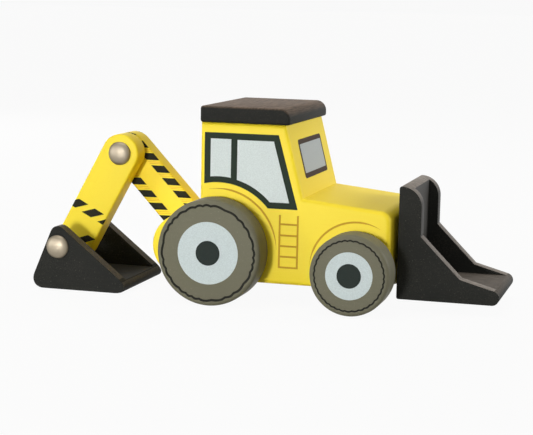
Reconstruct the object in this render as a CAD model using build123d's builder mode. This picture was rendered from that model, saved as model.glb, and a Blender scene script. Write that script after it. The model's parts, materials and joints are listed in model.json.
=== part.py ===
from build123d import *
import os
from math import atan2, cos, degrees, hypot, radians, sin, tan

# Wooden toy backhoe loader. Sizes are in millimetres, +X is forwards, +Y is to the
# toy's left and +Z is up. Heights are above the floor, and places along X are
# counted from the rear axle.

# Boards, dowels and rods
wheel_board = 18.2
bar_board = 13.2
roof_board = 9.2
dowel_radius = 4.0
rod_radius = 2.5

# Clearances
dowel_play = 0.08
rod_play = 0.06
wheel_gap = 1.2
bar_gap = 0.8
slot_gap = 0.6
cap_gap = 0.15
glue_room = 0.3

# Body
body_width = 83.0
ground_clearance = 11.5
tail_radius = 18.2
boom_pin_back = 21.9
cab_back = 11.5
cab_top = 101.6
windscreen_top = 38.6
windscreen_foot = 49.1
hood_back_height = 61.1
hood_front_height = 55.9
front_face = 99.1
hood_round = 6.0
body_edge = 1.7

# Roof
roof_length = 52.4
roof_width = 86.0
roof_front_round = 6.0
roof_edge = 1.0

# Wheels
wheelbase = 80.8
rear_radius = 30.0
front_radius = 22.6
wheel_edge = 1.5
dowel_depth = 11.0

# Backhoe arm, as it stands parked
bar_width = 22.6
bar_edge = 1.0
slot_floor = 17.6
elbow_back = 68.3
elbow_height = 79.0
hoe_pin_back = 97.0

# Hoe bucket, seen from the side: a wedge with its flat on the floor
hoe_clearance = 0.2
hoe_pin_height = 25.0
hoe_heel = 18.2
hoe_toe = 48.8
hoe_crown_height = 15.0
hoe_crown_back = 1.8
hoe_crown_round = 5.0
hoe_heel_round = 6.0
hoe_toe_round = 4.6
hoe_width = 62.8
hoe_cheek = 7.5
hoe_floor = 7.0
hoe_back_wall = 5.5
hoe_pocket_round = 4.0

# Loader bucket, seen from the side
loader_gap = 2.6
loader_clearance = 6.3
loader_top = 69.7
loader_shoulder = 12.7
loader_top_round = 11.4
loader_knee_height = 42.2
loader_heel_reach = 35.3
loader_reach = 57.4
loader_lip_radius = 4.1
loader_lip_slope = 15.3
loader_edge = 1.2
loader_width = 62.8
loader_cheek = 8.0
loader_back_wall = 7.0
loader_floor = 8.0
loader_pocket_round = 5.0

# Loader hinge: a tongue on a cross pin, in a slot in the nose
tongue_height = 12.0
tongue_tenon = 4.0
loader_pin_setback = 9.1
loader_pin_height = 43.5
loader_tilt_up = 18.0
loader_tilt_down = 3.5

# Steel push caps on the ends of the arm's rods
cap_radius = 6.9
cap_height = 3.2
cap_rim = 1.6
cap_grip = 1.4
buried_rod = 50.0
rim_edge = 0.6

# Places that follow from the sizes above
body_half = body_width / 2
loader_back = front_face + loader_gap
heel_angle = degrees(atan2(hoe_pin_height + hoe_crown_height, hoe_heel - hoe_crown_back))
heel_run = hoe_heel_round / tan(radians(heel_angle / 2))
hoe_rear = hoe_pin_back + hoe_heel - heel_run + hoe_heel_round
loader_front = loader_back + loader_reach
rear_axle_x = (hoe_rear - loader_front) / 2

# The side view: X runs forwards and Y runs up, and its normal points to the toy's
# right. Its origin is on the floor under the rear axle.
side = Plane(origin=(rear_axle_x, 0, 0), x_dir=(1, 0, 0), z_dir=(0, -1, 0))

rear_axle = (0, rear_radius)
front_axle = (wheelbase, front_radius)
boom_pin = (-boom_pin_back, ground_clearance + tail_radius)
elbow = (-elbow_back, elbow_height)
hoe_pin = (-hoe_pin_back, hoe_clearance + hoe_pin_height)
loader_pin = (front_face - loader_pin_setback, loader_pin_height)

# Where the boards stand across the toy, from the right side to the left
boom_right = -bar_board / 2
boom_left = bar_board / 2
dipper_left = boom_right - bar_gap
dipper_right = dipper_left - bar_board
hoe_middle = (dipper_left + dipper_right) / 2
hoe_right = hoe_middle - hoe_width / 2
hoe_left = hoe_middle + hoe_width / 2
wheel_inner = body_half + wheel_gap
wheel_outer = wheel_inner + wheel_board


def corner(x, z):
    """The corner of the sketch in hand that is nearest to a point."""
    return vertices().sort_by_distance((x, z))[0]


def side_rims(piece):
    """The edges of a piece's two outermost side faces."""
    faces = piece.faces().sort_by(Axis.Y)
    return faces[0].edges() + faces[-1].edges()


def cross_hole(centre, radius, left=body_width, right=-body_width):
    """Cuts a round hole across the part in hand, from its left end to its right."""
    with BuildSketch(side.offset(-left)) as hole:
        with Locations(centre):
            Circle(radius)
    extrude(hole.sketch, amount=left - right, mode=Mode.SUBTRACT)


def cross_rod(centre, radius, left, right):
    """A round rod that lies across the toy."""
    with BuildPart() as rod:
        with BuildSketch(side.offset(-left)):
            with Locations(centre):
                Circle(radius)
        extrude(amount=left - right)
    return rod


def bar(start, end, left, right, start_bore, end_bore):
    """A flat bar with round ends about two pins, and a bore for each."""
    run = end[0] - start[0]
    rise = end[1] - start[1]
    with BuildPart() as board:
        with BuildSketch(side.offset(-left)):
            with Locations(((start[0] + end[0]) / 2, (start[1] + end[1]) / 2)):
                SlotCenterToCenter(hypot(run, rise), bar_width, rotation=degrees(atan2(rise, run)))
        extrude(amount=left - right)
        chamfer(side_rims(board), bar_edge)
        cross_hole(start, start_bore)
        cross_hole(end, end_bore)
    return board


def push_cap(centre, face, turn):
    """A domed steel cap on a rod's end: turn is 1 on a left face and -1 on a right one."""
    seat = Plane(origin=(rear_axle_x + centre[0], face, centre[1]), x_dir=(1, 0, 0), z_dir=(0, turn, 0))
    with BuildPart() as cap:
        with BuildSketch(seat):
            Circle(cap_radius)
        extrude(amount=cap_height)
        brow = cap.faces().sort_by(Axis.Y)[-1 if turn > 0 else 0].edges()
        chamfer(brow, cap_height - cap_rim)
        with BuildSketch(seat):
            Circle(rod_radius)
        extrude(amount=cap_grip, mode=Mode.SUBTRACT)
    return cap


# Body: three boards glued side by side, with the cab, the hood and the round tail. The
# middle one is as wide as the two slots, and its own outline leaves them open.
tail_top = ground_clearance + 2 * tail_radius
tail_end = -boom_pin_back - tail_radius
tongue_room = tongue_height / 2 + slot_gap
slot_half = bar_board / 2 + slot_gap

with BuildSketch(side) as outline:
    with BuildLine():
        Polyline(
            (boom_pin[0], ground_clearance),
            (front_face, ground_clearance),
            (front_face, hood_front_height),
            (windscreen_foot, hood_back_height),
            (windscreen_top, cab_top),
            (-cab_back, cab_top),
            (-cab_back, tail_top),
            (boom_pin[0], tail_top),
        )
        ThreePointArc((boom_pin[0], tail_top), (tail_end, boom_pin[1]), (boom_pin[0], ground_clearance))
    make_face()
    fillet(corner(front_face, hood_front_height), hood_round)
    fillet(corner(front_face, ground_clearance), body_edge)

os.makedirs("parts", exist_ok=True)
axle_bore = dowel_radius + dowel_play
for hand, left, right in (("left", body_half, slot_half), ("right", -slot_half, -body_half)):
    with BuildPart() as outer_board:
        extrude(outline.sketch.moved(Location((0, left, 0))), amount=left - right)
        side_faces = outer_board.faces().sort_by(Axis.Y)
        chamfer(side_faces[-1 if hand == "left" else 0].edges(), body_edge)
        cross_hole(rear_axle, axle_bore)
        cross_hole(front_axle, axle_bore)
        cross_hole(boom_pin, rod_radius, buried_rod / 2, -buried_rod / 2)
        cross_hole(loader_pin, rod_radius, buried_rod / 2, -buried_rod / 2)
    outer_board.part.label = "body_" + hand
    export_step(outer_board.part, f"parts/body_{hand}.step")

with BuildPart() as body_middle:
    extrude(outline.sketch, amount=slot_half, both=True)

    # Slot in the tail: open at the back and on top, round about the boom's pin
    with BuildSketch(side):
        with Locations(boom_pin):
            Circle(bar_width / 2 + slot_gap)
        with Locations((tail_end - tail_radius, slot_floor)):
            Rectangle(2 * tail_radius, tail_top, align=Align.MIN)
        with Locations(boom_pin):
            Rectangle(boom_pin_back - cab_back, tail_radius, align=Align.MIN)
    extrude(amount=slot_half, both=True, mode=Mode.SUBTRACT)

    # Slot in the nose: as wide open as the tongue needs between its two limits
    with BuildSketch(side):
        with Locations(loader_pin):
            Circle(tongue_room)
            for tilt in (loader_tilt_up, 0, -loader_tilt_down):
                Rectangle(
                    2 * loader_pin_setback,
                    2 * tongue_room,
                    rotation=tilt,
                    align=(Align.MIN, Align.CENTER),
                )
    extrude(amount=slot_half, both=True, mode=Mode.SUBTRACT)
    cross_hole(rear_axle, axle_bore)
    cross_hole(front_axle, axle_bore)

body_middle.part.label = "body_middle"
export_step(body_middle.part, "parts/body_middle.step")

# Roof: a board glued on the cab, flush at the back and proud at the front and sides
with BuildPart() as roof:
    with BuildSketch(side):
        with Locations((-cab_back, cab_top)):
            Rectangle(roof_length, roof_board, align=Align.MIN)
        fillet(corner(roof_length - cab_back, cab_top + roof_board), roof_front_round)
        chamfer(corner(-cab_back, cab_top + roof_board), roof_edge)
    extrude(amount=roof_width / 2, both=True)
    chamfer(side_rims(roof), roof_edge)

roof.part.label = "roof"
export_step(roof.part, "parts/roof.step")

# Wheels: plain discs glued on the ends of a dowel that turns in the body
for end, centre, radius in (("rear", rear_axle, rear_radius), ("front", front_axle, front_radius)):
    reach = wheel_inner + dowel_depth
    axle = cross_rod(centre, dowel_radius, reach, -reach)
    axle.part.label = end + "_axle"
    export_step(axle.part, f"parts/{end}_axle.step")
    for hand, left, right in (("left", wheel_outer, wheel_inner), ("right", -wheel_inner, -wheel_outer)):
        with BuildPart() as wheel:
            with BuildSketch(side.offset(-left)):
                with Locations(centre):
                    Circle(radius)
            extrude(amount=left - right)
            outer_face = wheel.faces().sort_by(Axis.Y)[-1 if hand == "left" else 0]
            chamfer(outer_face.edges(), wheel_edge)
            cross_hole(centre, dowel_radius, reach + glue_room, -reach - glue_room)
        wheel.part.label = f"{end}_wheel_{hand}"
        export_step(wheel.part, f"parts/{end}_wheel_{hand}.step")

# Boom: swings on a rod that is pressed into the tail's two cheeks
boom = bar(boom_pin, elbow, boom_left, boom_right, rod_radius + rod_play, rod_radius)
boom.part.label = "boom"
export_step(boom.part, "parts/boom.step")

tail_rod = cross_rod(boom_pin, rod_radius, buried_rod / 2, -buried_rod / 2)
tail_rod.part.label = "tail_rod"
export_step(tail_rod.part, "parts/tail_rod.step")

# Dipper: lies against the boom's right side, loose on both of its rods
loose = rod_radius + rod_play
dipper = bar(elbow, hoe_pin, dipper_left, dipper_right, loose, loose)
dipper.part.label = "dipper"
export_step(dipper.part, "parts/dipper.step")

# Elbow rod: pressed into the boom, with a cap on each end
elbow_rod = cross_rod(elbow, rod_radius, boom_left + cap_grip, dipper_right - cap_gap - cap_grip)
elbow_rod.part.label = "elbow_rod"
export_step(elbow_rod.part, "parts/elbow_rod.step")

# Hoe bucket: a wedge with a pocket between two cheeks, open above and behind the pin
heel = (hoe_pin[0] - hoe_heel, hoe_clearance)
toe = (hoe_pin[0] + hoe_toe, hoe_clearance)
crown = (hoe_pin[0] - hoe_crown_back, hoe_pin[1] + hoe_crown_height)
wall_shift = hoe_back_wall / sin(radians(heel_angle))
floor_shift = hoe_floor / tan(radians(heel_angle))

with BuildPart() as hoe_bucket:
    with BuildSketch(side.offset(-hoe_left)):
        Polygon(heel, toe, crown, align=None)
        fillet(corner(*crown), hoe_crown_round)
        fillet(corner(*heel), hoe_heel_round)
        fillet(corner(*toe), hoe_toe_round)
    extrude(amount=hoe_width)
    chamfer(side_rims(hoe_bucket), rim_edge)
    with BuildSketch(side.offset(hoe_cheek - hoe_left)):
        Polygon(
            (heel[0] + wall_shift + floor_shift, hoe_clearance + hoe_floor),
            (toe[0], hoe_clearance + hoe_floor),
            (toe[0], crown[1]),
            (crown[0] + wall_shift, crown[1]),
            align=None,
        )
        fillet(corner(heel[0] + wall_shift + floor_shift, hoe_clearance + hoe_floor), hoe_pocket_round)
        with Locations(hoe_pin):
            Circle(bar_width / 2 + bar_gap)
            Rectangle(2 * hoe_crown_height, 2 * hoe_crown_height, align=(Align.CENTER, Align.MIN))
    extrude(amount=hoe_width - 2 * hoe_cheek, mode=Mode.SUBTRACT)
    cross_hole(hoe_pin, rod_radius)

hoe_bucket.part.label = "hoe_bucket"
export_step(hoe_bucket.part, "parts/hoe_bucket.step")

# Bucket rod: pressed into the two cheeks, with a cap on each end
hoe_rod = cross_rod(hoe_pin, rod_radius, hoe_left + cap_grip, hoe_right - cap_grip)
hoe_rod.part.label = "hoe_rod"
export_step(hoe_rod.part, "parts/hoe_rod.step")

# Domed caps, pushed on the rods' ends
caps = {
    "elbow_cap_left": (elbow, boom_left, 1),
    "elbow_cap_right": (elbow, dipper_right - cap_gap, -1),
    "hoe_cap_left": (hoe_pin, hoe_left, 1),
    "hoe_cap_right": (hoe_pin, hoe_right, -1),
}
for name, (centre, face, turn) in caps.items():
    cap = push_cap(centre, face, turn)
    cap.part.label = name
    export_step(cap.part, f"parts/{name}.step")

# Loader bucket: cut from a block, with a pocket between two cheeks
lip_centre = (loader_front - loader_lip_radius, loader_clearance + loader_lip_radius)
slope = radians(loader_lip_slope)
lip_top = (
    lip_centre[0] + loader_lip_radius * sin(slope),
    lip_centre[1] + loader_lip_radius * cos(slope),
)
knee_x = loader_back + loader_heel_reach
knee_low = (knee_x, lip_top[1] + (lip_top[0] - knee_x) * tan(slope))
shoulder_x = loader_back + loader_shoulder

with BuildPart() as loader_bucket:
    with BuildSketch(side):
        with BuildLine():
            Polyline(
                (lip_centre[0], loader_clearance),
                (loader_back, loader_clearance),
                (loader_back, loader_top),
                (shoulder_x, loader_top),
                (shoulder_x, loader_knee_height),
                knee_low,
                lip_top,
            )
            ThreePointArc(
                lip_top,
                (loader_front, lip_centre[1]),
                (lip_centre[0], loader_clearance),
            )
        make_face()
        fillet(corner(shoulder_x, loader_top), loader_top_round)
        fillet(corner(loader_back, loader_top), loader_edge)
        fillet(corner(loader_back, loader_clearance), loader_edge)
    extrude(amount=loader_width / 2, both=True)
    chamfer(side_rims(loader_bucket), rim_edge)
    with BuildSketch(side):
        with Locations((loader_back + loader_back_wall, loader_clearance + loader_floor)):
            Rectangle(loader_reach, loader_top, align=Align.MIN)
        fillet(corner(loader_back + loader_back_wall, loader_clearance + loader_floor), loader_pocket_round)
    extrude(amount=loader_width / 2 - loader_cheek, both=True, mode=Mode.SUBTRACT)
    with BuildSketch(side):
        with Locations((loader_back, loader_pin_height)):
            Rectangle(2 * tongue_tenon, tongue_height)
    extrude(amount=bar_board / 2, both=True, mode=Mode.SUBTRACT)

loader_bucket.part.label = "loader_bucket"
export_step(loader_bucket.part, "parts/loader_bucket.step")

# Loader tongue: glued in the bucket's back, loose on a rod that crosses the nose
with BuildPart() as loader_tongue:
    with BuildSketch(side):
        with Locations(loader_pin):
            Circle(tongue_height / 2)
            Rectangle(
                loader_pin_setback + loader_gap + tongue_tenon,
                tongue_height,
                align=(Align.MIN, Align.CENTER),
            )
    extrude(amount=bar_board / 2, both=True)
    cross_hole(loader_pin, rod_radius + rod_play)

loader_tongue.part.label = "loader_tongue"
export_step(loader_tongue.part, "parts/loader_tongue.step")

nose_rod = cross_rod(loader_pin, rod_radius, buried_rod / 2, -buried_rod / 2)
nose_rod.part.label = "nose_rod"
export_step(nose_rod.part, "parts/nose_rod.step")
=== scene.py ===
import bmesh
import bpy
import json
from math import atan2, cos, degrees, hypot, pi, radians, sin, sqrt, tan
from mathutils import Matrix, Vector


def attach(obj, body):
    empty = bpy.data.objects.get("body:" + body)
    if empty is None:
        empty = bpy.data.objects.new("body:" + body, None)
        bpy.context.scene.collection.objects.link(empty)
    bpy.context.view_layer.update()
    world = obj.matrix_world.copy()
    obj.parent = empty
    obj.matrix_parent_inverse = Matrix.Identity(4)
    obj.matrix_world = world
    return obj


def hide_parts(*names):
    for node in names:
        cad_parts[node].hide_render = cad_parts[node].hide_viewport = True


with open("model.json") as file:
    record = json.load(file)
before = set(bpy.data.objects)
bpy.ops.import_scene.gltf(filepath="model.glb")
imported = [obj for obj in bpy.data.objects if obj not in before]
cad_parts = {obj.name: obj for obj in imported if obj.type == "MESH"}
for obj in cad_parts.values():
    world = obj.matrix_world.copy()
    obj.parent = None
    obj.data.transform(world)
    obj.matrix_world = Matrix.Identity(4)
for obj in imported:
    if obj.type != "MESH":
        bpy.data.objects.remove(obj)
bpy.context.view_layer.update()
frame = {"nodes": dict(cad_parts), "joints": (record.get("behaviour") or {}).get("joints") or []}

# Painted wooden toy backhoe loader on a white table. Lengths are written in
# millimetres. X is forwards and counted from the rear axle, Y is to the toy's left and
# Z is up from the table.

# Camera: a long lens to the toy's right, a little ahead of its middle and above the
# roof line, so the near side, the roof, the hood and the open buckets show.
MM = 0.001
pivots = {joint["name"]: Vector(joint["pos_m"]) for joint in frame["joints"]}
rear_axle = pivots["rear_axle_spin"]
camera_turn = radians(15.72)
camera_rise = radians(8.05)
camera_roll = radians(1.23)
camera_distance = 919.23
lens_length = 105.2
sensor_size = 36.0
aim_forwards = 16.55
aim_height = 43.21
look_ahead = Vector((
    -sin(camera_turn) * cos(camera_rise),
    cos(camera_turn) * cos(camera_rise),
    -sin(camera_rise),
))
level_right = Vector((cos(camera_turn), sin(camera_turn), 0))
level_up = level_right.cross(look_ahead)
right_edge = level_right * cos(camera_roll) + level_up * sin(camera_roll)
top_edge = level_up * cos(camera_roll) - level_right * sin(camera_roll)
aim = Vector((rear_axle.x + aim_forwards * MM, 0, aim_height * MM))
bpy.ops.object.select_all(action="DESELECT")
bpy.ops.object.camera_add(location=aim - look_ahead * camera_distance * MM)
camera = bpy.context.object
camera.rotation_euler = Matrix((right_edge, top_edge, -look_ahead)).transposed().to_euler()
camera.data.sensor_width = sensor_size
camera.data.lens = lens_length
bpy.context.scene.camera = camera
bpy.context.scene.view_settings.view_transform = "Standard"

# Studio: a white table top that runs out of sight, a white room and five lamps. The key
# lamp stands low and far behind the camera, to its left, with a grid that narrows its
# light. The others fill the top, the tail's near side, the nose and the far side.


def linear(paint):
    """The linear colour of an sRGB hex value."""
    shares = [int(paint[place:place + 2], 16) / 255 for place in (0, 2, 4)]
    return [share / 12.92 if share <= 0.04045 else ((share + 0.055) / 1.055) ** 2.4 for share in shares] + [1]


def add_node(tree, kind, sockets, **settings):
    """Adds a node. A socket takes a number, a colour or the socket of another node."""
    node = tree.nodes.new("ShaderNode" + kind)
    for name, value in settings.items():
        setattr(node, name, value)
    for name, value in sockets.items():
        if isinstance(value, bpy.types.NodeSocket):
            tree.links.new(value, node.inputs[name])
        else:
            node.inputs[name].default_value = value
    return node


def seen_directly(tree):
    """1 for what the camera, a reflection or a view through glass meets, otherwise 0."""
    path = add_node(tree, "LightPath", {})
    kinds = ("Camera", "Glossy", "Transmission")
    straight, mirrored, through = [path.outputs[f"Is {kind} Ray"] for kind in kinds]
    seen = add_node(tree, "Math", {0: straight, 1: mirrored}, operation="MAXIMUM")
    seen = add_node(tree, "Math", {0: seen.outputs[0], 1: through}, operation="MAXIMUM")
    return seen.outputs[0]


# The camera and the reflections see the room and the table as near white
room_white = linear("FBFBFB")
room = bpy.data.worlds.new("white_room")
bpy.context.scene.world = room
room.use_nodes = True
tree = room.node_tree
tree.nodes.clear()
unseen_light = add_node(tree, "Background", {"Color": linear("FFEFD4"), "Strength": 0.14})
seen_light = add_node(tree, "Background", {"Color": room_white, "Strength": 0.98})
seen = seen_directly(tree)
mixed = add_node(tree, "MixShader", {0: seen, 1: unseen_light.outputs[0], 2: seen_light.outputs[0]})
add_node(tree, "OutputWorld", {"Surface": mixed.outputs[0]})

table_width = 40000
bpy.ops.object.select_all(action="DESELECT")
bpy.ops.mesh.primitive_plane_add(size=table_width * MM)
table = bpy.context.object
table.name = "table_top"
table_paint = bpy.data.materials.new("white_table_laminate")
table_paint.use_nodes = True
tree = table_paint.node_tree
tree.nodes.clear()
laminate = add_node(tree, "BsdfPrincipled", {"Base Color": linear("A6A6A4"), "Roughness": 0.9})
glow = add_node(tree, "Emission", {"Color": room_white, "Strength": 1.05})
lifted = add_node(tree, "MixShader", {0: 0.93, 1: laminate.outputs[0], 2: glow.outputs[0]})
shown = add_node(tree, "MixShader", {0: seen_directly(tree), 1: laminate.outputs[0], 2: lifted.outputs[0]})
add_node(tree, "OutputMaterial", {"Surface": shown.outputs[0]})
table.data.materials.append(table_paint)

# Name, place, width of the lamp, watts, and how many degrees its light spreads
lamps = (
    ("key", (-380, -2470, 190), 370, 0.69, 24),
    ("overhead", (-100, -150, 1300), 900, 6.5, 180),
    ("near_left", (-1350, -1050, 240), 440, 7.0, 180),
    ("nose_side", (1150, 520, 450), 500, 9.0, 180),
    ("far_side", (-900, 900, 500), 600, 6.0, 180),
)
for name, place, size, power, spread in lamps:
    bpy.ops.object.light_add(type="AREA", location=[length * MM for length in place])
    lamp = bpy.context.object
    lamp.name = name
    lamp.data.shape = "DISK"
    lamp.data.size = size * MM
    lamp.data.energy = power
    lamp.data.spread = radians(spread)
    lamp.rotation_euler = (aim - lamp.location).to_track_quat("-Z", "Y").to_euler()

# Body: a block of wood with the cab, the hood and a round tail, sawn with a slot for
# the boom and one for the loader's tongue, sanded round at the edges and sprayed with
# two coats of satin yellow lacquer.
front_axle = pivots["front_axle_spin"]
boom_pin = pivots["boom_hinge"]
loader_pin = pivots["loader_hinge"]
body_width = 83.0
floor_gap = 11.5
tail_end = -40.1
tail_top = 47.9
tail_radius = 18.2
cab_back = -11.5
cab_top = 101.6
windscreen_top = 38.6
windscreen_foot = 49.1
hood_back_height = 61.1
hood_front_height = 55.9
nose_face = 99.1
nose_round = 5.5
chin_round = 3.2
sanded_edge = 2.6
slot_width = 14.4
slot_floor = 17.6
boom_room = 11.9
tongue_room = 6.6
tongue_reach = 18.2
tongue_tilts = (18.0, -3.5)
axle_bore = 4.08

# A cutter runs past the wood by the overrun. Corners closer than a sliver, or than dust
# on a finished piece, are doubles. A hair is how far a test for a plane may be out.
overrun = 10.0
sliver = 0.05
hair = 0.01
dust = 0.002


def spot(x, y, z):
    """The place in metres of a point given in the toy's own millimetres."""
    return Vector((rear_axle.x + x * MM, y * MM, z * MM))


def measured(place):
    """A place in metres as the toy's own millimetres, the other way round from spot."""
    return (place.x - rear_axle.x) / MM, place.y / MM, place.z / MM


def block(name, low, high):
    """A block between two corners, left in edit mode."""
    bpy.ops.object.select_all(action="DESELECT")
    low, high = spot(*low), spot(*high)
    bpy.ops.mesh.primitive_cube_add(size=1, location=(low + high) / 2)
    piece = bpy.context.object
    piece.name = name
    piece.scale = high - low
    bpy.ops.object.transform_apply()
    bpy.ops.object.mode_set(mode="EDIT")
    return piece


def pick(piece, kind, test):
    """Selects the vertices, edges or faces whose corners all pass a test of x, y and z."""
    bpy.ops.mesh.select_mode(type={"verts": "VERT", "edges": "EDGE", "faces": "FACE"}[kind])
    bpy.ops.mesh.select_all(action="DESELECT")
    mesh = bmesh.from_edit_mesh(piece.data)
    for part in getattr(mesh, kind):
        corners = [part.co] if kind == "verts" else [corner.co for corner in part.verts]
        if all(test(*measured(corner)) for corner in corners):
            part.select_set(True)
    mesh.select_flush_mode()
    bmesh.update_edit_mesh(piece.data)


def saw(piece, point, normal, keep_all=False):
    """Cuts straight through a piece in edit mode. What lies on the normal's side goes."""
    bpy.ops.mesh.select_all(action="SELECT")
    normal = Vector(normal).normalized()
    bpy.ops.mesh.bisect(
        plane_co=spot(*point), plane_no=normal, use_fill=not keep_all, clear_outer=not keep_all)


def extrude(x=0, y=0, z=0):
    """Pulls the selected faces out by a way in millimetres."""
    bpy.ops.mesh.extrude_region_move(TRANSFORM_OT_translate={"value": (x * MM, y * MM, z * MM)})


def move(x=0, y=0, z=0):
    """Moves what is selected by a way in millimetres."""
    bpy.ops.transform.translate(value=(x * MM, y * MM, z * MM))


def round_off(reach, segments):
    """Rounds the selected edges. The round starts at this reach from the edge."""
    bpy.ops.mesh.bevel(offset=reach * MM, segments=segments, affect="EDGES", clamp_overlap=False)


def drum(name, centre, radius, low, high, segments=96):
    """A cylinder across the toy, from one place along Y to another."""
    bpy.ops.object.select_all(action="DESELECT")
    bpy.ops.mesh.primitive_cylinder_add(
        vertices=segments,
        radius=radius * MM,
        depth=(high - low) * MM,
        location=(centre.x, (low + high) / 2 * MM, centre.z),
        rotation=(pi / 2, 0, 0),
    )
    piece = bpy.context.object
    piece.name = name
    bpy.ops.object.transform_apply()
    return piece


def merge_doubles(gap):
    """Merges the corners of the piece in edit mode that lie within a gap."""
    bpy.ops.mesh.select_all(action="SELECT")
    bpy.ops.mesh.remove_doubles(threshold=gap * MM)


def join_flats():
    """Makes one face of neighbours that lie in one plane."""
    bpy.ops.mesh.select_all(action="SELECT")
    bpy.ops.mesh.dissolve_limited(angle_limit=radians(1))


def finish_modifier(piece, kind, **settings):
    """Adds a modifier with its settings and applies it."""
    modifier = piece.modifiers.new(kind, kind)
    for name, value in settings.items():
        setattr(modifier, name, value)
    bpy.context.view_layer.objects.active = piece
    bpy.ops.object.modifier_apply(modifier=modifier.name)


def mill(piece, cutter):
    """Takes a cutter's shape out of a piece and clears the cutter away."""
    finish_modifier(piece, "BOOLEAN", object=cutter, operation="DIFFERENCE", solver="EXACT")
    bpy.data.objects.remove(cutter)


def smooth(piece, angle=35):
    """Merges doubles, turns the faces outwards and shades the rounded edges smooth."""
    bpy.ops.object.select_all(action="DESELECT")
    piece.select_set(True)
    bpy.context.view_layer.objects.active = piece
    bpy.ops.object.mode_set(mode="EDIT")
    merge_doubles(dust)
    bpy.ops.mesh.normals_make_consistent(inside=False)
    bpy.ops.object.mode_set(mode="OBJECT")
    bpy.ops.object.shade_smooth_by_angle(angle=radians(angle))


half = body_width / 2
body = block("painted_body", (tail_end, -half, floor_gap), (nose_face, half, tail_top))
saw(body, (cab_back, 0, 0), (1, 0, 0), keep_all=True)
saw(body, (windscreen_foot, 0, 0), (1, 0, 0), keep_all=True)
pick(body, "faces", lambda x, y, z: z > tail_top - hair and x > cab_back - hair)
extrude(z=hood_back_height - tail_top)
pick(body, "faces", lambda x, y, z: z > hood_back_height - hair and x < windscreen_foot + hair)
extrude(z=cab_top - hood_back_height)
pick(body, "verts", lambda x, y, z: z > cab_top - hair and x > windscreen_foot - hair)
move(x=windscreen_top - windscreen_foot)
pick(body, "verts", lambda x, y, z: z > hood_back_height - hair and x > nose_face - hair)
move(z=hood_front_height - hood_back_height)
join_flats()
# Edges, how far from them the round starts, and its segments
body_rounds = (
    (lambda x, y, z: x < tail_end + hair and z > tail_top - hair, tail_radius - hair, 24),
    (lambda x, y, z: x < tail_end + hair and z < floor_gap + hair, tail_radius - hair, 24),
    (lambda x, y, z: x > nose_face - hair and z > hood_front_height - hair, nose_round, 10),
    (lambda x, y, z: x > nose_face - hair and z < floor_gap + hair, chin_round, 6),
)
for test, reach, segments in body_rounds:
    pick(body, "edges", test)
    round_off(reach, segments)
merge_doubles(sliver)
pick(body, "edges", lambda x, y, z: y < -half + hair)
round_off(sanded_edge, segments=5)
pick(body, "edges", lambda x, y, z: y > half - hair)
round_off(sanded_edge, segments=5)
bpy.ops.object.mode_set(mode="OBJECT")

# The boom's slot is round about its pin, open at the back and the top, and ends at the cab
slot_half = slot_width / 2
pin_x, _, pin_z = measured(boom_pin)
mill(body, drum("cutter", boom_pin, boom_room, -slot_half, slot_half))
slot_cuts = (
    ((tail_end - overrun, slot_floor), (pin_x, cab_top)),
    ((pin_x - 1, pin_z), (cab_back, cab_top)),
)
for (back, foot), (front, top) in slot_cuts:
    cutter = block("cutter", (back, -slot_half, foot), (front, slot_half, top))
    bpy.ops.object.mode_set(mode="OBJECT")
    mill(body, cutter)

# The tongue's slot takes the tongue, with room to spare, at both ends of its swing
nose_x, _, nose_z = measured(loader_pin)
mill(body, drum("cutter", loader_pin, tongue_room, -slot_half, slot_half, segments=64))
for tilt in tongue_tilts:
    cutter = block("cutter", (nose_x, -slot_half, nose_z - tongue_room),
                   (nose_x + tongue_reach, slot_half, nose_z + tongue_room))
    bpy.ops.object.mode_set(mode="OBJECT")
    cutter.data.transform(Matrix.Translation(loader_pin) @ Matrix.Rotation(-radians(tilt), 4, "Y")
                          @ Matrix.Translation(-loader_pin))
    mill(body, cutter)
for axle in (rear_axle, front_axle):
    mill(body, drum("cutter", axle, axle_bore, -half - 1, half + 1, segments=48))
smooth(body)
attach(body, "body")
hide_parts("body_left", "body_middle", "body_right")


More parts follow.
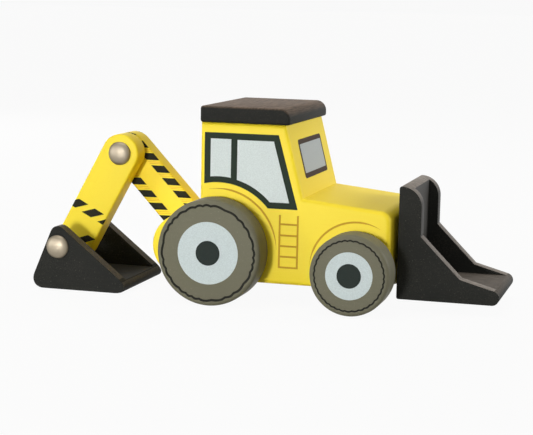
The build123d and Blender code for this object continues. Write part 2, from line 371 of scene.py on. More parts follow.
def coated_wood(name, paint, worn, bare, rubbed, roughness, sheen, speckle, pimple, grain, run=(9, 0.9, 0.9)):
    """Paint on sanded wood: worn in specks, with painted top light, a top-lit tone mixed in where it faces
    up.
    Speckle, pimple and run are sizes in mm. Run is that of the grain's marks, by axis."""
    material = bpy.data.materials.new(name)
    material.use_nodes = True
    tree = material.node_tree
    tree.nodes.clear()
    where = add_node(tree, "TexCoord", {})
    place = where.outputs["Object"]
    facing = add_node(tree, "SeparateXYZ", {0: where.outputs["Normal"]})
    cloud = add_node(tree, "TexNoise", {"Vector": place, "Scale": 1 / (28 * MM), "Detail": 3.0})
    fleck = add_node(tree, "TexNoise", {"Vector": place, "Scale": 1 / (speckle * MM), "Detail": 2.0})
    along = add_node(tree, "Mapping", {"Vector": place, "Scale": [1 / (length * MM) for length in run]})
    fibre = add_node(tree, "TexNoise", {"Vector": along.outputs[0], "Scale": 1.0, "Detail": 3.0})
    peel = add_node(tree, "TexNoise", {"Vector": place, "Scale": 1 / (pimple * MM), "Detail": 2.0})
    patch = add_node(tree, "MapRange", {"Value": cloud.outputs[0], "From Min": 0.35, "From Max": 0.7,
                                        "To Max": 0.5})
    dots = add_node(tree, "MapRange", {"Value": fleck.outputs[0], "From Min": 0.45, "From Max": 0.75,
                                       "To Max": 0.55})
    lines = add_node(tree, "MapRange", {"Value": fibre.outputs[0], "From Min": 0.5, "From Max": 0.8,
                                        "To Max": grain})
    share = add_node(tree, "Math", {0: patch.outputs[0], 1: dots.outputs[0]}, operation="MULTIPLY")
    share = add_node(tree, "Math", {0: share.outputs[0], 1: lines.outputs[0]},
                     operation="ADD", use_clamp=True)
    # Grit under the paint is finer than this, and is drawn 0.6 mm wide so that it shows
    grit = add_node(tree, "TexNoise", {"Vector": place, "Scale": 1 / (0.6 * MM), "Detail": 0.0})
    specks = add_node(tree, "MapRange", {"Value": grit.outputs[0], "From Min": 0.77, "From Max": 0.83,
                                         "To Max": 0.6})
    share = add_node(tree, "Math", {0: share.outputs[0], 1: specks.outputs[0]}, operation="MAXIMUM")
    coated = add_node(tree, "Mix", {0: share.outputs[0], 6: linear(paint), 7: linear(worn)}, data_type="RGBA")
    # Painted top light: faces that point up take the top-lit tone, in streaks along the grain
    top_light_mask = add_node(tree, "MapRange", {"Value": facing.outputs["Z"], "From Min": 0.2, "To Max": rubbed})
    streak = add_node(tree, "MapRange", {"Value": fibre.outputs[0], "From Min": 0.3, "From Max": 0.65,
                                         "To Min": 0.35})
    blend = add_node(tree, "Math", {0: top_light_mask.outputs[0], 1: streak.outputs[0]}, operation="MULTIPLY")
    colour = add_node(tree, "Mix", {0: blend.outputs[0], 6: coated.outputs[2], 7: linear(bare)},
                      data_type="RGBA")
    gloss = add_node(tree, "MapRange", {"Value": fleck.outputs[0], "To Min": roughness - 0.06,
                                        "To Max": roughness + 0.08})
    dents = add_node(tree, "Bump", {"Height": peel.outputs[0], "Strength": 0.35, "Distance": 0.02 * MM})
    ridges = add_node(tree, "Bump", {"Height": fibre.outputs[0], "Strength": grain * 0.6,
                                     "Distance": 0.05 * MM, "Normal": dents.outputs[0]})
    shader = add_node(tree, "BsdfPrincipled", {"Base Color": colour.outputs[2], "Roughness": gloss.outputs[0],
                                               "Specular IOR Level": sheen, "IOR": 1.5,
                                               "Normal": ridges.outputs[0]})
    add_node(tree, "OutputMaterial", {"Surface": shader.outputs[0]})
    return material


# Satin lacquer lies smooth over the sanded wood: the grain only just shows through. Faces that point up are
# painted a little duller and more ochre, as painted top light
yellow_lacquer = coated_wood(
    "satin_yellow_lacquer", paint="F9E02F", worn="F2CC24", bare="E8C040", rubbed=0.1,
    roughness=0.5, sheen=0.28, speckle=0.8, pimple=1.4, grain=0.12)
body.data.materials.append(yellow_lacquer)

# Windows, ladder and fender lines: screen-printed on the flat of the body, the same on
# both sides. Each ink is a film on the lacquer, drawn thicker than real so that it shows.
film = 0.12


def printed_ink(name, paint, roughness=0.6):
    """Screen ink: flat and even. The fine speckle that the screen's mesh leaves is drawn
    0.5 mm wide so that it shows."""
    material = bpy.data.materials.new(name)
    material.use_nodes = True
    tree = material.node_tree
    tree.nodes.clear()
    place = add_node(tree, "TexCoord", {}).outputs["Object"]
    mesh_speckle = add_node(tree, "TexNoise", {"Vector": place, "Scale": 1 / (0.5 * MM), "Detail": 2.0})
    shade = add_node(tree, "MapRange", {"Value": mesh_speckle.outputs[0], "From Min": 0.3, "From Max": 0.7,
                                        "To Min": 0.9, "To Max": 1.08})
    colour = add_node(tree, "VectorMath", {0: linear(paint)[:3], "Scale": shade.outputs[0]},
                      operation="SCALE")
    peel = add_node(tree, "Bump", {"Height": mesh_speckle.outputs[0], "Strength": 0.2, "Distance": 0.02 * MM})
    shader = add_node(tree, "BsdfPrincipled", {"Base Color": colour.outputs[0], "Roughness": roughness,
                                               "Specular IOR Level": 0.1, "Normal": peel.outputs[0]})
    add_node(tree, "OutputMaterial", {"Surface": shader.outputs[0]})
    return material


def window_print(name, back, front, sill, head, pillar_top, arch, thickness):
    """A printed window shape on the middle plane: raked at the front, arched over the wheel."""
    plate = block(name, (back, -thickness / 2, sill), (front, thickness / 2, head))
    if pillar_top < front:
        saw(plate, (pillar_top, 0, head), (head - sill, 0, front - pillar_top))
    bpy.ops.object.mode_set(mode="OBJECT")
    mill(plate, drum("cutter", rear_axle, arch, -1, 1, segments=360))
    return plate


def print_both_sides(plate, ink, body_name, right, left):
    """Sets a print on the right face and its mirror image on the left face. Right and left
    are where these faces lie along Y."""
    plate.data.materials.clear()
    plate.data.materials.append(ink)
    copy = plate.copy()
    copy.data = plate.data.copy()
    bpy.context.scene.collection.objects.link(copy)
    name = plate.name
    for side, piece, y, turn in (("right", plate, right, 1), ("left", copy, left, -1)):
        piece.data.transform(Matrix.Translation((0, y * MM, 0)) @ Matrix.Diagonal((1, turn, 1, 1)))
        smooth(piece)
        piece.name = f"{name}_{side}"
        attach(piece, body_name)


frame_ink = printed_ink("window_frame_ink", "253026")
pane_ink = printed_ink("window_pane_ink", "D3DDDC")
ochre_ink = printed_ink("ochre_line_ink", "C99E2C")
# Name, back, front, sill, head, top of the front pillar, radius of the arch, film, ink, slot
windows = (
    ("window_frame", -8.9, 46.2, 54.5, 95.95, 34.4, 37.8, film, frame_ink, "black_paint"),
    ("rear_pane", -5.3, 6.8, 60.0, 92.5, 6.8, 41.2, 2 * film, pane_ink, "grey_paint"),
    ("door_pane", 10.45, 41.2, 58.05, 92.25, 31.6, 41.0, 2 * film, pane_ink, "grey_paint"),
)
for *shape, ink, slot in windows:
    print_both_sides(window_print(*shape), ink, "body", -half, half)

ladder_left = 36.0
ladder_right = 46.5
ladder_top = 51.2
ladder_foot = 21.0
ladder_line = 1.1
rungs = (46.0, 39.7, 33.6, 27.6, 21.5)


def join(name, pieces):
    """Makes one piece of several."""
    bpy.ops.object.select_all(action="DESELECT")
    for piece in pieces:
        piece.select_set(True)
    bpy.context.view_layer.objects.active = pieces[0]
    bpy.ops.object.join()
    pieces[0].name = name
    return pieces[0]


strokes = []
line_half = ladder_line / 2
for x in (ladder_left, ladder_right):
    strokes.append(block("rail", (x - line_half, -film / 2, ladder_foot),
                         (x + line_half, film / 2, ladder_top)))
    bpy.ops.object.mode_set(mode="OBJECT")
for z in rungs:
    strokes.append(block("rung", (ladder_left + line_half, -film / 2, z - line_half),
                         (ladder_right - line_half, film / 2, z + line_half)))
    bpy.ops.object.mode_set(mode="OBJECT")
print_both_sides(join("ladder_print", strokes), ochre_ink, "body", -half, half)

fender_width = 1.1
fender_taper = 22.0
fender_tip = 0.12


def fender_line(name, centre, radius, start, end):
    """A printed arc about an axle, thinning to a hair over its last degrees at both ends."""
    axle_x, _, axle_z = measured(centre)
    line = block(name, (axle_x + radius - fender_width / 2, -film / 2, axle_z - hair),
                 (axle_x + radius + fender_width / 2, film / 2, axle_z + hair))
    pick(line, "faces", lambda x, y, z: z > axle_z)
    bpy.ops.mesh.select_all(action="INVERT")
    bpy.ops.mesh.delete(type="FACE")
    bpy.ops.mesh.select_all(action="SELECT")
    bpy.ops.mesh.spin(steps=60, angle=radians(end - start), center=centre, axis=(0, 1, 0))
    bpy.ops.object.mode_set(mode="OBJECT")
    line.data.transform(Matrix.Translation(centre) @ Matrix.Rotation(-radians(start), 4, "Y")
                        @ Matrix.Translation(-centre))
    for vertex in line.data.vertices:
        out = Vector((vertex.co.x - centre.x, 0, vertex.co.z - centre.z))
        turn = degrees(atan2(out.z, out.x)) % 360
        run = min(turn - start if turn >= start - 1 else 0, end - turn)
        blend = max(fender_tip, min(1.0, run / fender_taper))
        wanted = radius * MM + (out.length - radius * MM) * blend
        vertex.co += out.normalized() * (wanted - out.length)
    return line


# Name, axle, radius, and where the line starts and ends in degrees
fenders = (
    ("rear_fender_line", rear_axle, 34.3, 2, 100),
    ("front_fender_line", front_axle, 27.0, 62, 177),
)
for shape in fenders:
    print_both_sides(fender_line(*shape), ochre_ink, "body", -half, half)

# Windscreen: printed on the sloped front of the cab, a brown frame round grey glass. Its
# rows give the ink, how far down the slope it starts and ends, its half width, the round
# of its corners and its film.
slope_angle = atan2(windscreen_foot - windscreen_top, cab_top - hood_back_height)
screen_inks = (
    ("windscreen_frame", "38281E", 9.6, 32.1, 25.8, 1.8, film, "black_paint"),
    ("windscreen_glass", "B8C0C6", 12.4, 29.2, 23.6, 0.8, 2 * film, "grey_paint"),
)
for name, paint, top, foot, half_width, corner_round, thickness, slot in screen_inks:
    bpy.ops.object.select_all(action="DESELECT")
    down = (top + foot) / 2
    middle = spot(windscreen_top + down * sin(slope_angle), 0, cab_top - down * cos(slope_angle))
    bpy.ops.mesh.primitive_cube_add(size=1, location=middle, rotation=(0, -slope_angle, 0))
    screen = bpy.context.object
    screen.name = name
    screen.scale = (thickness * MM, 2 * half_width * MM, (foot - top) * MM)
    bpy.ops.object.transform_apply()
    bpy.ops.object.mode_set(mode="EDIT")
    bpy.ops.mesh.select_mode(type="EDGE")
    bpy.ops.mesh.select_all(action="DESELECT")
    # The short edges run through the film, so rounding them rounds the print's corners
    mesh = bmesh.from_edit_mesh(screen.data)
    for edge in mesh.edges:
        edge.select_set(edge.calc_length() < 1.5 * thickness * MM)
    bmesh.update_edit_mesh(screen.data)
    round_off(corner_round, segments=5)
    bpy.ops.object.mode_set(mode="OBJECT")
    smooth(screen)
    screen.data.materials.append(printed_ink(name + "_ink", paint))
    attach(screen, "body")

# Roof: a thin board with a round front edge, stained and painted black, glued on the cab. Its grain runs
# across the toy. Its top is painted lighter as painted top light, streaked along the grain.
roof_paint = coated_wood(
    "matt_black_roof_paint", paint="1A1B18", worn="3C372F", bare="84705F", rubbed=0.75,
    roughness=0.66, sheen=0.14, speckle=0.7, pimple=1.1, grain=0.3, run=(0.8, 12, 0.8))


def soften(piece, width, segments, angle=40):
    """Rounds every edge of a finished shape that is sharper than an angle."""
    finish_modifier(piece, "BEVEL", width=width * MM, segments=segments, limit_method="ANGLE",
                    angle_limit=radians(angle))


roof_front = 40.9
roof_top = 110.8
roof_half = 43.0
roof_edge = 1.4
roof_brow = 6.0
roof = block("black_roof", (cab_back, -roof_half, cab_top), (roof_front, roof_half, roof_top))
pick(roof, "edges", lambda x, y, z: x > roof_front - hair and z > roof_top - hair)
round_off(roof_brow, segments=14)
bpy.ops.object.mode_set(mode="OBJECT")
soften(roof, roof_edge, segments=4)
smooth(roof)
roof.data.materials.append(roof_paint)
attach(roof, "body")
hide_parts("roof")

# Wheels: turned discs with a softened rim, painted olive grey and glued on dowels. A
# pale ring, a dark hub dot and a wavy tread line are printed on each outer face.
# The olive grey is painted a little lighter where it faces up, as painted top light
wheel_paint = coated_wood(
    "matt_olive_grey_paint", paint="656350", worn="7E7C68", bare="8C8A78", rubbed=0.2,
    roughness=0.55, sheen=0.25, speckle=0.5, pimple=0.9, grain=0.1)
ring_ink = printed_ink("pale_ring_ink", "C6D2D3")
dot_ink = printed_ink("hub_dot_ink", "262E2B")
wave_ink = printed_ink("tread_line_ink", "1F1F1A")
wheel_inner = 42.7
wheel_outer = 60.9
print_room = 0.12
hub_film = 0.2
mean_beat = 0.6
wheel_round = 2.2
inner_round = wheel_round * 0.7
# End, axle and radius of the wheel, radii of the dot, the ring and the tread line, then
# the line's bumps, their drift, its width and the bumps' height
wheels = (
    ("rear", rear_axle, 30.0, 7.0, 17.6, 26.8, 27, 1.1, 1.3, 0.65),
    ("front", front_axle, 22.6, 6.8, 13.2, 19.5, 35, 0.4, 0.95, 0.42),
)


def wavy_ring(name, centre, radius, bumps, drift, width, height, y):
    """A thin printed ring of small bumps that meet in cusps. Drift makes them uneven."""
    bpy.ops.object.select_all(action="DESELECT")
    bpy.ops.mesh.primitive_circle_add(
        vertices=540,
        radius=(radius + width / 2) * MM,
        fill_type="NGON",
        location=(centre.x, y * MM, centre.z),
        rotation=(pi / 2, 0, 0),
    )
    ring = bpy.context.object
    ring.name = name
    bpy.ops.object.transform_apply()
    bpy.ops.object.mode_set(mode="EDIT")
    bpy.ops.mesh.select_all(action="SELECT")
    bpy.ops.mesh.inset(thickness=width * MM)
    bpy.ops.mesh.delete(type="FACE")
    bpy.ops.object.mode_set(mode="OBJECT")
    for vertex in ring.data.vertices:
        out = Vector((vertex.co.x - centre.x, 0, vertex.co.z - centre.z))
        turn = atan2(out.z, out.x)
        beat = bumps * turn / 2 + drift * (sin(3 * turn) + 0.6 * sin(7 * turn + 1))
        vertex.co += out.normalized() * height * (abs(sin(beat)) - mean_beat) * MM
    finish_modifier(ring, "SOLIDIFY", thickness=film * MM, offset=0)
    smooth(ring)
    return ring


for end, centre, radius, dot, ring, wave, bumps, drift, width, height in wheels:
    for hand, turn in (("left", 1), ("right", -1)):
        outer = turn * (wheel_outer - print_room)
        low, high = sorted((turn * wheel_inner, outer))
        wheel = drum(f"{end}_wheel_painted_{hand}", centre, radius, low, high, segments=160)
        bpy.ops.object.mode_set(mode="EDIT")
        pick(wheel, "edges", lambda x, y, z: abs(y - outer) < hair)
        round_off(wheel_round, segments=7)
        pick(wheel, "edges", lambda x, y, z: abs(y - turn * wheel_inner) < hair)
        round_off(inner_round, segments=5)
        bpy.ops.object.mode_set(mode="OBJECT")
        smooth(wheel)
        wheel.data.materials.append(wheel_paint)
        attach(wheel, end + "_wheels")
        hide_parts(f"{end}_wheel_{hand}")
        ring_print = drum(
            f"{end}_ring_print_{hand}", centre, ring, outer - film / 2, outer + film / 2, segments=128)
        hub_print = drum(f"{end}_hub_print_{hand}", centre, dot, outer - hub_film / 2, outer + hub_film / 2)
        tread_print = wavy_ring(f"{end}_tread_print_{hand}", centre, wave, bumps, drift, width, height, outer)
        for piece, ink in ((ring_print, ring_ink), (hub_print, dot_ink), (tread_print, wave_ink)):
            smooth(piece)
            piece.data.materials.append(ink)
            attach(piece, end + "_wheels")

# Boom and dipper: two flat bars with round ends, sawn from the same board, sanded and
# lacquered yellow like the body. Black hazard stripes are printed on both flats.
elbow = pivots["dipper_hinge"]
hoe_pin = pivots["hoe_bucket_hinge"]
dipper_end = Vector((hoe_pin.x, elbow.y, hoe_pin.z))
bar_half = 11.3
bar_edge = 1.1
boom_low, boom_high = -6.6, 6.6
dipper_low, dipper_high = -20.6, -7.4


def lay(piece, start, run):
    """Turns a piece drawn along X from the rear axle to lie along a bar."""
    turn = -atan2(run.z, run.x)
    piece.data.transform(Matrix.Translation((start.x, 0, start.z)) @ Matrix.Rotation(turn, 4, "Y")
                         @ Matrix.Translation((-rear_axle.x, 0, 0)))


def bar(name, start, end, low, high):
    """A round-ended bar between two pins."""
    run = end - start
    length = run.length / MM
    piece = block(name, (-bar_half, low, -bar_half), (length + bar_half, high, bar_half))
    for at_end in (lambda x: x < -hair, lambda x: x > length + bar_half - hair):
        for side in (bar_half, -bar_half):
            pick(piece, "edges", lambda x, y, z: abs(z - side) < hair and at_end(x))
            round_off(bar_half - hair, segments=20)
    merge_doubles(sliver)
    pick(piece, "edges", lambda x, y, z: y < low + hair)
    round_off(bar_edge, segments=4)
    pick(piece, "edges", lambda x, y, z: y > high - hair)
    round_off(bar_edge, segments=4)
    bpy.ops.object.mode_set(mode="OBJECT")
    lay(piece, start, run)
    smooth(piece)
    return piece


boom = bar("painted_boom", elbow, boom_pin, boom_low, boom_high)
boom.data.materials.append(yellow_lacquer)
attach(boom, "boom")
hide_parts("boom")
dipper = bar("painted_dipper", elbow, dipper_end, dipper_low, dipper_high)
dipper.data.materials.append(yellow_lacquer)
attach(dipper, "dipper")
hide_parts("dipper")

# Hazard stripes: black ink printed on both flats of the bars and a little way over
# their rounded edges, with thin ochre lines between the stripes of the boom.
stripe_ink = printed_ink("hazard_stripe_ink", "232318")
pale_ochre_ink = printed_ink("pale_ochre_line_ink", "DDB533")
print_edge = 11.2
flat_end = bar_half - bar_edge
edge_cuts = (0, 0.25, 0.5, 0.7, 0.85)


def wrap(piece, turns):
    """Cuts a print on a bar drawn along X at the edges that lie at these turns about the pin
    and lays it over their rounding."""
    for turn in turns:
        way = (-sin(radians(turn)), 0, cos(radians(turn)))
        saw(piece, [print_edge * part for part in way], way)
        for share in edge_cuts:
            level = flat_end + (print_edge - flat_end) * share
            saw(piece, [level * part for part in way], way, keep_all=True)
    bpy.ops.object.mode_set(mode="OBJECT")
    for vertex in piece.data.vertices:
        x, _, z = measured(vertex.co)
        reach = hypot(x, z) if x < 0 else abs(z)
        over = min(max(0, reach - flat_end), print_edge - flat_end + sliver)
        vertex.co.y += (bar_edge - sqrt(bar_edge ** 2 - over ** 2)) * MM


def stripe(start, foot, top, width, slant, turns=(0, 180)):
    """A slanted stripe on the middle plane of a bar drawn along X."""
    low, high = sorted((foot, top))
    piece = block("stripe", (start, -film / 2, low), (start + width, film / 2, high))
    pick(piece, "verts", lambda x, y, z: abs(z - top) < hair)
    move(x=slant)
    wrap(piece, turns)
    return piece


upper_pitch = 9.9
upper_foot = 5.5
upper_width = 5.6
upper_slant = 5.5
upper_start = -4.2
lower_pitch = 9.95
lower_foot = -4.6
lower_width = 5.5
lower_slant = -6.1
lower_start = 6.9
end_turns = range(0, 90, 10)
upper_row = [stripe(upper_start + upper_pitch * k, upper_foot, bar_half, upper_width, upper_slant)
             for k in range(6)]
lower_row = [stripe(lower_start + lower_pitch * k, lower_foot, -bar_half, lower_width, lower_slant)
             for k in range(5)]
end_stripe = stripe(upper_start - upper_pitch, upper_foot, bar_half, upper_width, upper_slant, end_turns)
boom_stripes = join("boom_stripes", upper_row + lower_row + [end_stripe])
lay(boom_stripes, elbow, boom_pin - elbow)
print_both_sides(boom_stripes, stripe_ink, "boom", boom_low, boom_high)
line_width = 0.45
line_gaps = (1.3, 2.6)
pin_lines = []
for k in range(5):
    for gap in line_gaps:
        upper_line = upper_start + upper_width + upper_pitch * k + gap
        lower_line = lower_start + lower_width + lower_pitch * k + gap
        pin_lines.append(stripe(upper_line, upper_foot, bar_half, line_width, upper_slant))
        pin_lines.append(stripe(lower_line, lower_foot, -bar_half, line_width, lower_slant))
boom_lines = join("boom_pin_lines", pin_lines)
lay(boom_lines, elbow, boom_pin - elbow)
print_both_sides(boom_lines, pale_ochre_ink, "boom", boom_low, boom_high)

cross_pitch = 11.3
cross_foot = -9.1


def chevron(start, end, foot, width, slant):
    """A slanted stripe with its ends square to the bar, from start to end along it."""
    piece = block("chevron", (start, -film / 2, foot), (end, film / 2, foot + width))
    pick(piece, "verts", lambda x, y, z: abs(x - end) < hair)
    move(z=slant)
    wrap(piece, (0, 180))
    return piece


dipper_marks = [chevron(start=37.0, end=43.0, foot=cross_foot + cross_pitch * k, width=6.6, slant=-6.35)
                for k in range(3)]
dipper_marks.append(chevron(start=53.3, end=58.8, foot=6.0, width=5.2, slant=-5.2))
dipper_stripes = join("dipper_stripes", dipper_marks)
lay(dipper_stripes, elbow, dipper_end - elbow)
print_both_sides(dipper_stripes, stripe_ink, "dipper", dipper_low, dipper_high)

# Hoe bucket: a wedge cut from a block with its pocket milled out, painted black. It
# hangs on a rod through its two cheeks.
hoe_left = 17.4
hoe_right = -45.4
hoe_x, _, hoe_z = measured(hoe_pin)
heel_x = hoe_x - 18.2
toe_x = hoe_x + 48.8
crown_x = hoe_x - 1.8
crown_z = hoe_z + 15.0
sole_z = 0.2
hoe_cheek = 7.5
hoe_floor = 7.0
hoe_back_wall = 5.5
hoe_pocket_round = 5.5
dipper_room = 12.1
dipper_way = 15.0
rim_edge = 0.7
lit_toe = 9.2
near_floor = 4.0
close = 0.5

# Matt black paint, painted lighter on top as top light, and a darker copy painted as shade for the pocket
# floor
black_paint = coated_wood(
    "matt_black_paint", paint="1C1D1A", worn="57544C", bare="80766C", rubbed=0.58,
    roughness=0.66, sheen=0.14, speckle=0.7, pimple=1.1, grain=0.05)
pocket_shade_paint = coated_wood(
    "sheltered_black_paint", paint="1C1D1A", worn="3A3833", bare="4A453D", rubbed=0.3,
    roughness=0.7, sheen=0.1, speckle=0.7, pimple=1.1, grain=0.05)
hoe = block("painted_hoe_bucket", (heel_x - 1, hoe_right, sole_z), (toe_x + 1, hoe_left, crown_z + 1))
rise = crown_z - sole_z
saw(hoe, (heel_x, 0, sole_z), (-rise, 0, crown_x - heel_x))
saw(hoe, (toe_x, 0, sole_z), (rise, 0, toe_x - crown_x))
# Corner of the wedge, how far from it the round starts, and its segments
corners = (
    ((crown_x, crown_z), 6.6, 10),
    ((heel_x, sole_z), 9.5, 10),
    ((toe_x, sole_z), 13.2, 8),
)
for (corner_x, corner_z), reach, segments in corners:
    pick(hoe, "edges", lambda x, y, z: hypot(x - corner_x, z - corner_z) < close)
    round_off(reach, segments)
bpy.ops.object.mode_set(mode="OBJECT")
heel_angle = atan2(rise, crown_x - heel_x)
wall_shift = hoe_back_wall / sin(heel_angle)
pocket_back = heel_x + wall_shift + hoe_floor / tan(heel_angle)
pocket_foot = sole_z + hoe_floor
pocket_low = hoe_right + hoe_cheek
pocket_high = hoe_left - hoe_cheek
pocket = block("cutter", (pocket_back - 1, pocket_low, pocket_foot),
               (toe_x + overrun / 2, pocket_high, crown_z + 2 * overrun))
saw(pocket, (pocket_back, 0, pocket_foot), (-rise, 0, crown_x - heel_x))
pick(pocket, "edges", lambda x, y, z: hypot(x - pocket_back, z - pocket_foot) < close)
round_off(hoe_pocket_round, segments=8)
bpy.ops.object.mode_set(mode="OBJECT")
mill(hoe, pocket)
mill(hoe, drum("cutter", hoe_pin, dipper_room, pocket_low, pocket_high))
cutter = block("cutter", (hoe_x - dipper_way, pocket_low, hoe_z),
               (hoe_x + dipper_way, pocket_high, hoe_z + 3 * overrun))
bpy.ops.object.mode_set(mode="OBJECT")
mill(hoe, cutter)
soften(hoe, rim_edge, segments=3)
smooth(hoe)
hoe.data.materials.append(black_paint)
hoe.data.materials.append(pocket_shade_paint)
# Painted shade: the pocket's floor, short of the toe, takes the darker copy of the paint
for face in hoe.data.polygons:
    forwards, left, up = measured(face.center)
    in_pocket_shade = up < pocket_foot + near_floor and forwards < toe_x - lit_toe
    if in_pocket_shade and pocket_low < left < pocket_high:
        face.material_index = 1
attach(hoe, "hoe_bucket")
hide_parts("hoe_bucket")

# Push caps: nickel-plated steel caps with a domed head, pressed on the ends of the rods. The plating is
# slightly warm and dulled by handling, with fine scratches. The rods are drawn steel, grey and dull. Caps and
# rods are painted darker towards their rims, as painted shade and a painted dark reflection.
cap_radius = 6.9
cap_height = 2.8
cap_gap = 0.15


def steel(name, rim_shade, crown, dullest):
    """Handled steel, painted darker towards the rim as shade and a dark reflection: the rim tint lies where
    the surface turns away from the cross axis.
    """
    material = bpy.data.materials.new(name)
    material.use_nodes = True
    tree = material.node_tree
    tree.nodes.clear()
    where = add_node(tree, "TexCoord", {})
    place = where.outputs["Object"]
    smear = add_node(tree, "TexNoise", {"Vector": place, "Scale": 1 / (2.5 * MM), "Detail": 4.0})
    # Handling scratches are finer than this, and are drawn 0.4 mm wide so that they show
    scratch = add_node(tree, "TexNoise", {"Vector": place, "Scale": 1 / (0.4 * MM), "Detail": 3.0})
    dullness = add_node(tree, "MapRange", {"Value": smear.outputs[0], "From Min": 0.3, "From Max": 0.7,
                                           "To Min": dullest - 0.12, "To Max": dullest})
    facing = add_node(tree, "SeparateXYZ", {0: where.outputs["Normal"]})
    across = add_node(tree, "Math", {0: facing.outputs["Y"]}, operation="ABSOLUTE")
    crown_light = add_node(tree, "MapRange", {"Value": across.outputs[0], "From Min": 0.66, "From Max": 0.97})
    clean = add_node(tree, "MapRange", {"Value": smear.outputs[0], "From Min": 0.3, "From Max": 0.7,
                                        "To Min": 0.55})
    mottle_and_crown_light = add_node(tree, "Math", {0: clean.outputs[0], 1: crown_light.outputs[0]}, operation="MULTIPLY")
    tint = add_node(tree, "Mix", {0: mottle_and_crown_light.outputs[0], 6: linear(rim_shade), 7: linear(crown)}, data_type="RGBA")
    scores = add_node(tree, "Bump", {"Height": scratch.outputs[0], "Strength": 0.25, "Distance": 0.02 * MM})
    shader = add_node(tree, "BsdfPrincipled", {"Base Color": tint.outputs[2], "Metallic": 1.0,
                                               "Roughness": dullness.outputs[0], "Normal": scores.outputs[0]})
    add_node(tree, "OutputMaterial", {"Surface": shader.outputs[0]})
    return material


nickel = steel("nickel_plated_steel", rim_shade="8A806E", crown="968C7B", dullest=0.52)
drawn_steel = steel("drawn_steel", rim_shade="8E8C87", crown="A3A19B", dullest=0.42)
# Name, pin, where its flat side lies along Y, the way it points and the body that holds it
caps = (
    ("elbow_cap_left", elbow, boom_high, 1, "boom"),
    ("elbow_cap_right", elbow, dipper_low - cap_gap, -1, "boom"),
    ("hoe_cap_left", hoe_pin, hoe_left, 1, "hoe_bucket"),
    ("hoe_cap_right", hoe_pin, hoe_right, -1, "hoe_bucket"),
)
for name, centre, flat_side, turn, holder in caps:
    bpy.ops.object.select_all(action="DESELECT")
    bpy.ops.mesh.primitive_uv_sphere_add(
        segments=64,
        ring_count=32,
        radius=1,
        location=(centre.x, flat_side * MM, centre.z),
        rotation=(pi / 2, 0, 0),
    )
    cap = bpy.context.object
    cap.name = "domed_" + name
    cap.scale = (cap_radius * MM, cap_radius * MM, cap_height * MM)
    bpy.ops.object.transform_apply()
    bpy.ops.object.mode_set(mode="EDIT")
    saw(cap, (0, flat_side, 0), (0, -turn, 0))
    bpy.ops.object.mode_set(mode="OBJECT")
    smooth(cap, angle=50)
    cap.data.materials.append(nickel)
    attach(cap, holder)
    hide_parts(name)
for name in ("elbow_rod", "hoe_rod", "tail_rod", "nose_rod"):
    for slot in frame["nodes"][name].material_slots:
        slot.material = drawn_steel

# Loader bucket: cut from a block to a stepped side view with its pocket milled out,
# painted black. A tongue glued in its back hangs it on a rod in the nose.
loader_back = 101.7
loader_foot = 6.3
loader_top = 69.7
shoulder_x = 114.4
knee_z = 42.2
heel_reach = 137.0
heel_z = 19.57
lip_x = 159.09
lip_z = 13.53
loader_half = 31.4
loader_cheek = 8.0
loader_wall = 7.0
loader_floor = 8.0
loader_pocket_round = 5.0
lit_back_foot = 22.2
turned = 0.3

# A lighter copy of the black paint is painted on the rims and the upper back that face up or forwards, as
# painted top light
top_lit_paint = coated_wood(
    "rubbed_black_paint", paint="2A2926", worn="6A6560", bare="A89E94", rubbed=0.75,
    roughness=0.6, sheen=0.2, speckle=0.7, pimple=1.1, grain=0.05)
loader = block("painted_loader_bucket", (loader_back, -loader_half, loader_foot),
               (shoulder_x, loader_half, loader_top))
saw(loader, (0, 0, knee_z), (0, 0, 1), keep_all=True)
pick(loader, "faces", lambda x, y, z: x > shoulder_x - hair and z < knee_z + hair)
extrude(x=heel_reach - shoulder_x)
pick(loader, "verts", lambda x, y, z: x > heel_reach - hair and z > knee_z - hair)
move(z=heel_z - knee_z)
pick(loader, "faces", lambda x, y, z: x > heel_reach - hair)
extrude(x=lip_x - heel_reach)
pick(loader, "verts", lambda x, y, z: x > lip_x - hair and z > heel_z - hair)
move(z=lip_z - heel_z)
join_flats()
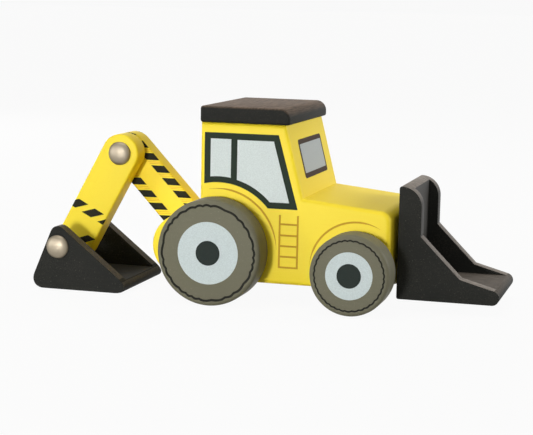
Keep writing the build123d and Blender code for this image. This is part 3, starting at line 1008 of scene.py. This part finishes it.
# Edges, how far from them the round starts, and its segments
loader_rounds = (
    (lambda x, y, z: abs(x - shoulder_x) < hair and z > loader_top - hair, 11.4, 16),
    (lambda x, y, z: x < loader_back + hair and z > loader_top - hair, 1.2, 4),
    (lambda x, y, z: x < loader_back + hair and z < loader_foot + hair, 1.2, 4),
    (lambda x, y, z: x > lip_x - hair and z > loader_foot + 1, 3.1, 8),
    (lambda x, y, z: x > lip_x - hair and z < loader_foot + hair, 4.05, 8),
)
for test, reach, segments in loader_rounds:
    pick(loader, "edges", test)
    round_off(reach, segments)
merge_doubles(sliver)
bpy.ops.object.mode_set(mode="OBJECT")
inner = loader_half - loader_cheek
pocket_wall = loader_back + loader_wall
pocket_floor = loader_foot + loader_floor
pocket = block("cutter", (pocket_wall, -inner, pocket_floor),
               (lip_x + 2 * overrun, inner, loader_top + 2 * overrun))
pick(pocket, "edges", lambda x, y, z: x < pocket_wall + hair and z < pocket_floor + hair)
round_off(loader_pocket_round, segments=8)
bpy.ops.object.mode_set(mode="OBJECT")
mill(loader, pocket)
soften(loader, rim_edge, segments=3, angle=25)
smooth(loader)
loader.data.materials.append(black_paint)
loader.data.materials.append(top_lit_paint)
# Painted top light: faces of the cheeks and the upper back that point up or forwards take the lighter copy
for face in loader.data.polygons:
    forwards, left, up = measured(face.center)
    on_cheek = abs(left) > inner
    on_back = up > lit_back_foot and forwards < pocket_wall + close
    faces_up = face.normal.z > turned
    faces_front = face.normal.x > turned and up > pocket_floor
    faces_aside = abs(face.normal.y) >= turned
    if (faces_up or faces_front) and not faces_aside and (on_cheek or on_back):
        face.material_index = 1
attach(loader, "loader_bucket")
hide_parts("loader_bucket")

# Axles and tongue: bare beech, cut from dowel and board and left unpainted where they turn. The grain runs
# along the dowels. Faces that point up are painted a little lighter as top light.
beech = coated_wood(
    "bare_beech", paint="CFA472", worn="B88954", bare="C79B68", rubbed=0.1,
    roughness=0.6, sheen=0.3, speckle=0.6, pimple=0.8, grain=0.7, run=(0.9, 9, 0.9))
for name in ("rear_axle", "front_axle", "loader_tongue"):
    for slot in frame["nodes"][name].material_slots:
        slot.material = beech
